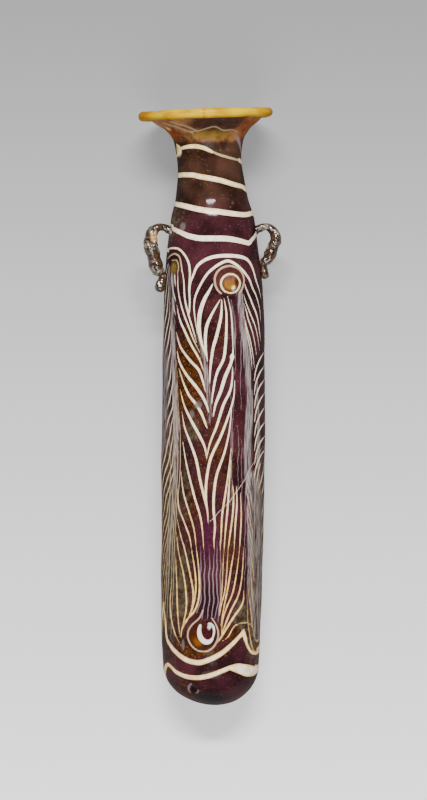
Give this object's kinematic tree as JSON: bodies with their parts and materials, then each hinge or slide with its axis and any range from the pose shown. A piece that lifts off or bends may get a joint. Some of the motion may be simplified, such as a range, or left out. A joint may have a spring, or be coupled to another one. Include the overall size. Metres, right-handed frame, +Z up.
{
  "type": "alabastron",
  "caption": "Long round-based flask of dark glass with a feathered thread pattern, a flared rim and small loop handles, lying on its back.",
  "frame": {"origin": "on the table, below the middle of the bounding box of the flask as it lies", "axes": "+Y along the flask towards the mouth, +Z up, the side that the picture shows facing +Z and its right hand side +X"},
  "size_m": [0.0418, 0.1754, 0.0392],
  "materials": {
    "vessel_glass": "glossy dark purple glass with flush cream threads",
    "rim_glass": "glossy opaque yellow glass",
    "handle_glass": "weathered brown glass with a silvery crust"
  },
  "bodies": {
    "root": {"vessel": "vessel_glass", "rim_trail": "rim_glass", "right_handle": "handle_glass", "left_handle": "handle_glass"}
  },
  "joints": []
}
